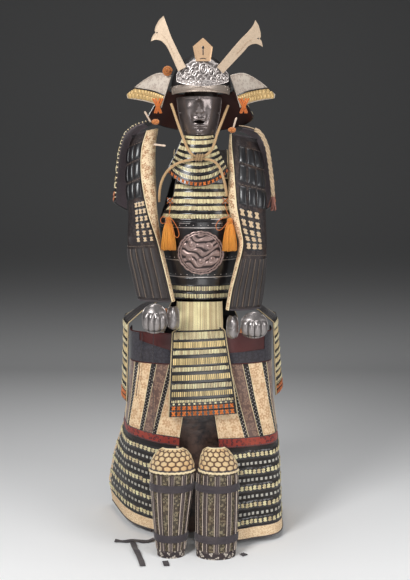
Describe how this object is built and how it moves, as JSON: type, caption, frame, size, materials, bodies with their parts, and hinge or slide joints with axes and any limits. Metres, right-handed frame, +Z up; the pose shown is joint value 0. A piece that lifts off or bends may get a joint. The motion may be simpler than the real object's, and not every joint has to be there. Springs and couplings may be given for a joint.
{
  "type": "samurai armour on chest stand",
  "caption": "Full laced armour with crested helmet, half mask, armoured sleeves, thigh and shin guards, standing on a plain wooden chest and post.",
  "frame": {"origin": "middle of the chest's underside, on the surface it stands on", "axes": "+Z up; the armour faces -Y; +X is on the viewer's right"},
  "size_m": [0.6886, 0.6962, 1.881],
  "materials": {
    "wood": "dark stained wood, worn satin",
    "black_lacquer": "black lacquer on iron, satin gloss",
    "cream_lacing": "flat braided silk lacing, cream",
    "orange_lacing": "braided silk, orange",
    "cream_leather": "printed cream leather and cloth",
    "pale_leather": "pale printed leather",
    "dark_cloth": "dark purple-brown cloth",
    "maroon_lacquer": "dark red lacquered leather",
    "armour_cloth": "black cloth with laced plates",
    "horn_metal": "pale gilt metal leaf",
    "silver": "embossed silver",
    "pewter": "dark polished iron",
    "bronze": "patinated bronze relief",
    "shin_iron": "russet iron splints on cloth",
    "strap_cloth": "dark mauve cloth ribbon",
    "knee_cloth": "quilted cream cloth",
    "rope": "twisted tan cord"
  },
  "bodies": {
    "root": {"chest_body": "wood", "chest_lid": "wood", "stand_frame": "wood", "head_block": "wood", "helmet_bowl": "black_lacquer", "helmet_visor": "silver", "neck_guard": "black_lacquer", "turnback_left": "pale_leather", "turnback_right": "pale_leather", "crest_base": "silver", "crest_horn_left": "horn_metal", "crest_horn_right": "horn_metal", "crest_centre_plate": "horn_metal", "face_mask": "black_lacquer", "throat_guard": "cream_lacing", "cuirass_front": "black_lacquer", "cuirass_back": "black_lacquer", "shoulder_strap_left": "dark_cloth", "shoulder_strap_right": "dark_cloth", "chest_medallion": "bronze", "tasset_front": "cream_lacing", "tasset_left": "cream_lacing", "tasset_right": "cream_lacing", "tasset_back": "cream_lacing", "sleeve_left": "dark_cloth", "sleeve_right": "dark_cloth", "sleeve_edge_left": "cream_leather", "sleeve_edge_right": "cream_leather", "hand_plate_left": "pewter", "hand_plate_right": "pewter", "thumb_plate_left": "pewter", "thumb_plate_right": "pewter", "shoulder_guard_left": "black_lacquer", "shoulder_guard_right": "black_lacquer", "thigh_belt": "maroon_lacquer", "thigh_panel_left": "cream_leather", "thigh_panel_right": "cream_leather", "thigh_armour_left": "armour_cloth", "thigh_armour_right": "armour_cloth", "shin_guard_left": "shin_iron", "shin_guard_right": "shin_iron", "knee_panel_left": "knee_cloth", "knee_panel_right": "knee_cloth", "shin_strap_left_upper": "strap_cloth", "shin_strap_left_lower": "strap_cloth", "shin_strap_right_upper": "strap_cloth", "shin_strap_right_lower": "strap_cloth", "shin_tie_long": "strap_cloth", "shin_tie_tail": "strap_cloth", "chin_cord_left": "rope", "chin_cord_right": "rope", "chin_knot": "rope", "chest_cord_left": "rope", "chest_cord_right": "rope", "tassel_left": "orange_lacing", "tassel_right": "orange_lacing", "tassel_cord_left": "orange_lacing", "tassel_cord_right": "orange_lacing", "belt_tie_left": "strap_cloth", "belt_tie_outer": "strap_cloth"}
  },
  "joints": []
}
